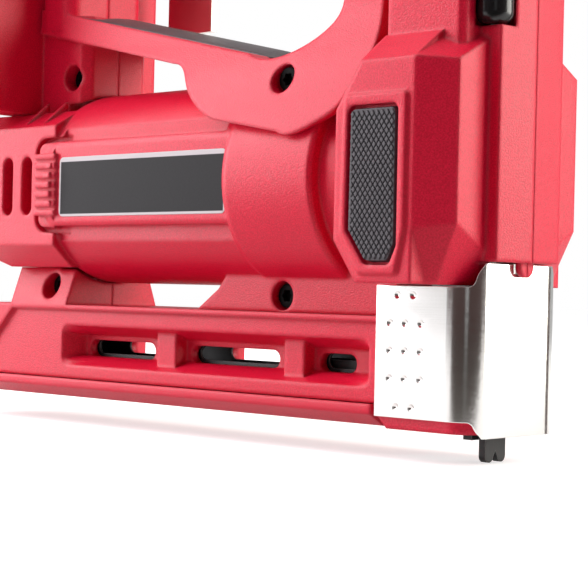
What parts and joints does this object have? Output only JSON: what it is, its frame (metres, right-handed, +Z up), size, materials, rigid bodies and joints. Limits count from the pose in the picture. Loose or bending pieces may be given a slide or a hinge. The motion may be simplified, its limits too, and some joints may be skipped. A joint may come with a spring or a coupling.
{
  "type": "cordless stapler",
  "caption": "Cordless stapler with a round motor barrel, D-handle, slide-on battery, steel nose plate and a drawer-loaded staple magazine under the barrel.",
  "frame": {"origin": "middle of the flat underside of the magazine drawer, on the tool's middle plane", "axes": "+X forward towards the nose, +Y to the tool's left, +Z up towards the grip"},
  "size_m": [0.2622, 0.075, 0.2165],
  "materials": {
    "shell_red": "satin",
    "black_plastic": "satin",
    "black_rubber": "matte",
    "nose_steel": "bright",
    "steel": "ground",
    "black_steel": "blackened",
    "spring_steel": "drawn",
    "hook_steel": "bright",
    "screw_steel": "blackened",
    "gear_steel": "ground",
    "cast_case": "cast",
    "motor_steel": "zinc",
    "rotor_iron": "laminated",
    "bronze": "sintered",
    "bumper_rubber": "matte",
    "board_green": "satin",
    "cell_wrap": "gloss",
    "button_red": "satin"
  },
  "bodies": {
    "housing": {"body_right": "shell_red", "body_left": "shell_red", "head_cap": "black_plastic", "handle_right": "shell_red", "handle_left": "shell_red", "magazine_right": "shell_red", "magazine_left": "shell_red", "nose_plate": "nose_steel", "nose_guide": "steel", "nose_foot": "black_steel", "tip_spring": "spring_steel", "rod_base": "cast_case", "guide_rods": "steel", "bumper": "bumper_rubber", "rod_cap": "cast_case", "drive_spring": "spring_steel", "lifter_axle": "steel", "axle_sleeve": "gear_steel", "ring_gear": "gear_steel", "gear_case": "cast_case", "output_bearing": "bronze", "motor_can": "motor_steel", "motor_bearings": "motor_steel", "wheel_pin": "steel", "side_pad_right": "black_rubber", "side_pad_left": "black_rubber", "trigger_spring": "spring_steel", "trigger_switch": "black_plastic", "control_board": "board_green", "terminal_block": "black_plastic", "belt_hook": "hook_steel", "hook_screw": "screw_steel", "housing_screws": "screw_steel"},
    "rotor": {"rotor": "rotor_iron", "sun_pinion": "gear_steel", "fan": "black_plastic"},
    "carrier": {"carrier_pinion": "gear_steel", "planet_pins": "steel"},
    "first_planet": {"planet_1": "gear_steel"},
    "second_planet": {"planet_2": "gear_steel"},
    "third_planet": {"planet_3": "gear_steel"},
    "lifter": {"lifter_gear": "gear_steel", "lift_pins": "steel"},
    "driver": {"carriage": "black_steel", "driver_blade": "steel"},
    "tip": {"contact_tip": "black_steel"},
    "wheel": {"depth_wheel": "black_plastic"},
    "drawer": {"drawer_rail": "shell_red", "staple_rail": "black_steel", "latch_pin": "steel"},
    "latch": {"drawer_latch": "black_plastic"},
    "pusher": {"pusher": "black_steel", "pusher_spring": "spring_steel"},
    "trigger": {"trigger": "black_plastic"},
    "battery": {"battery_cover": "black_plastic", "battery_case": "black_plastic", "battery_cells": "cell_wrap"},
    "button": {"battery_button": "button_red"}
  },
  "joints": [
    {"name": "rotor_spin", "type": "hinge", "parent": "housing", "child": "rotor", "pos_m": [0, 0, 0.0696], "axis": [1, 0, 0], "continuous": true},
    {"name": "carrier_spin", "type": "hinge", "parent": "housing", "child": "carrier", "pos_m": [0, 0, 0.0696], "axis": [1, 0, 0], "continuous": true},
    {"name": "first_planet_spin", "type": "hinge", "parent": "carrier", "child": "first_planet", "pos_m": [0.027, 0.012, 0.0696], "axis": [1, 0, 0], "continuous": true},
    {"name": "second_planet_spin", "type": "hinge", "parent": "carrier", "child": "second_planet", "pos_m": [0.027, -0.006, 0.07999], "axis": [1, 0, 0], "continuous": true},
    {"name": "third_planet_spin", "type": "hinge", "parent": "carrier", "child": "third_planet", "pos_m": [0.027, -0.006, 0.05921], "axis": [1, 0, 0], "continuous": true},
    {"name": "lifter_spin", "type": "hinge", "parent": "housing", "child": "lifter", "pos_m": [0.092, 0, 0.0696], "axis": [0, 1, 0], "continuous": true},
    {"name": "driver_slide", "type": "slide", "parent": "housing", "child": "driver", "axis": [0, 0, 1], "range_m": [0, 0.026], "stiffness_N_per_m": 1500, "springref_m": -0.012, "deforming": ["drive_spring"]},
    {"name": "tip_slide", "type": "slide", "parent": "housing", "child": "tip", "axis": [0, 0, 1], "range_m": [0, 0.007], "stiffness_N_per_m": 200, "springref_m": -0.004, "deforming": ["tip_spring"]},
    {"name": "wheel_turn", "type": "hinge", "parent": "housing", "child": "wheel", "pos_m": [0.1256, -0.0122, 0.116], "axis": [0, 0, 1], "range_deg": [-150, 150]},
    {"name": "drawer_slide", "type": "slide", "parent": "housing", "child": "drawer", "axis": [-1, 0, 0], "range_m": [0, 0.14]},
    {"name": "latch_turn", "type": "hinge", "parent": "drawer", "child": "latch", "pos_m": [-0.0992, 0, 0.0056], "axis": [0, -1, 0], "range_deg": [0, 30], "stiffness_Nm_per_rad": 0.06, "springref_deg": -17.19},
    {"name": "pusher_slide", "type": "slide", "parent": "drawer", "child": "pusher", "axis": [-1, 0, 0], "range_m": [0, 0.125], "stiffness_N_per_m": 20, "springref_m": -0.1},
    {"name": "trigger_press", "type": "slide", "parent": "housing", "child": "trigger", "axis": [0, 0, 1], "range_m": [0, 0.005], "stiffness_N_per_m": 250, "springref_m": -0.004, "deforming": ["trigger_spring"]},
    {"name": "battery_slide", "type": "slide", "parent": "housing", "child": "battery", "axis": [0, 0, 1], "range_m": [0, 0.086]},
    {"name": "button_press", "type": "slide", "parent": "battery", "child": "button", "axis": [1, 0, 0], "range_m": [0, 0.0026], "stiffness_N_per_m": 300, "springref_m": -0.003}
  ],
  "couplings": [
    {"joint": "carrier_spin", "follows": "rotor_spin", "ratio": 0.2},
    {"joint": "first_planet_spin", "follows": "rotor_spin", "ratio": -0.53333},
    {"joint": "second_planet_spin", "follows": "rotor_spin", "ratio": -0.53333},
    {"joint": "third_planet_spin", "follows": "rotor_spin", "ratio": -0.53333},
    {"joint": "lifter_spin", "follows": "rotor_spin", "ratio": -0.1}
  ]
}
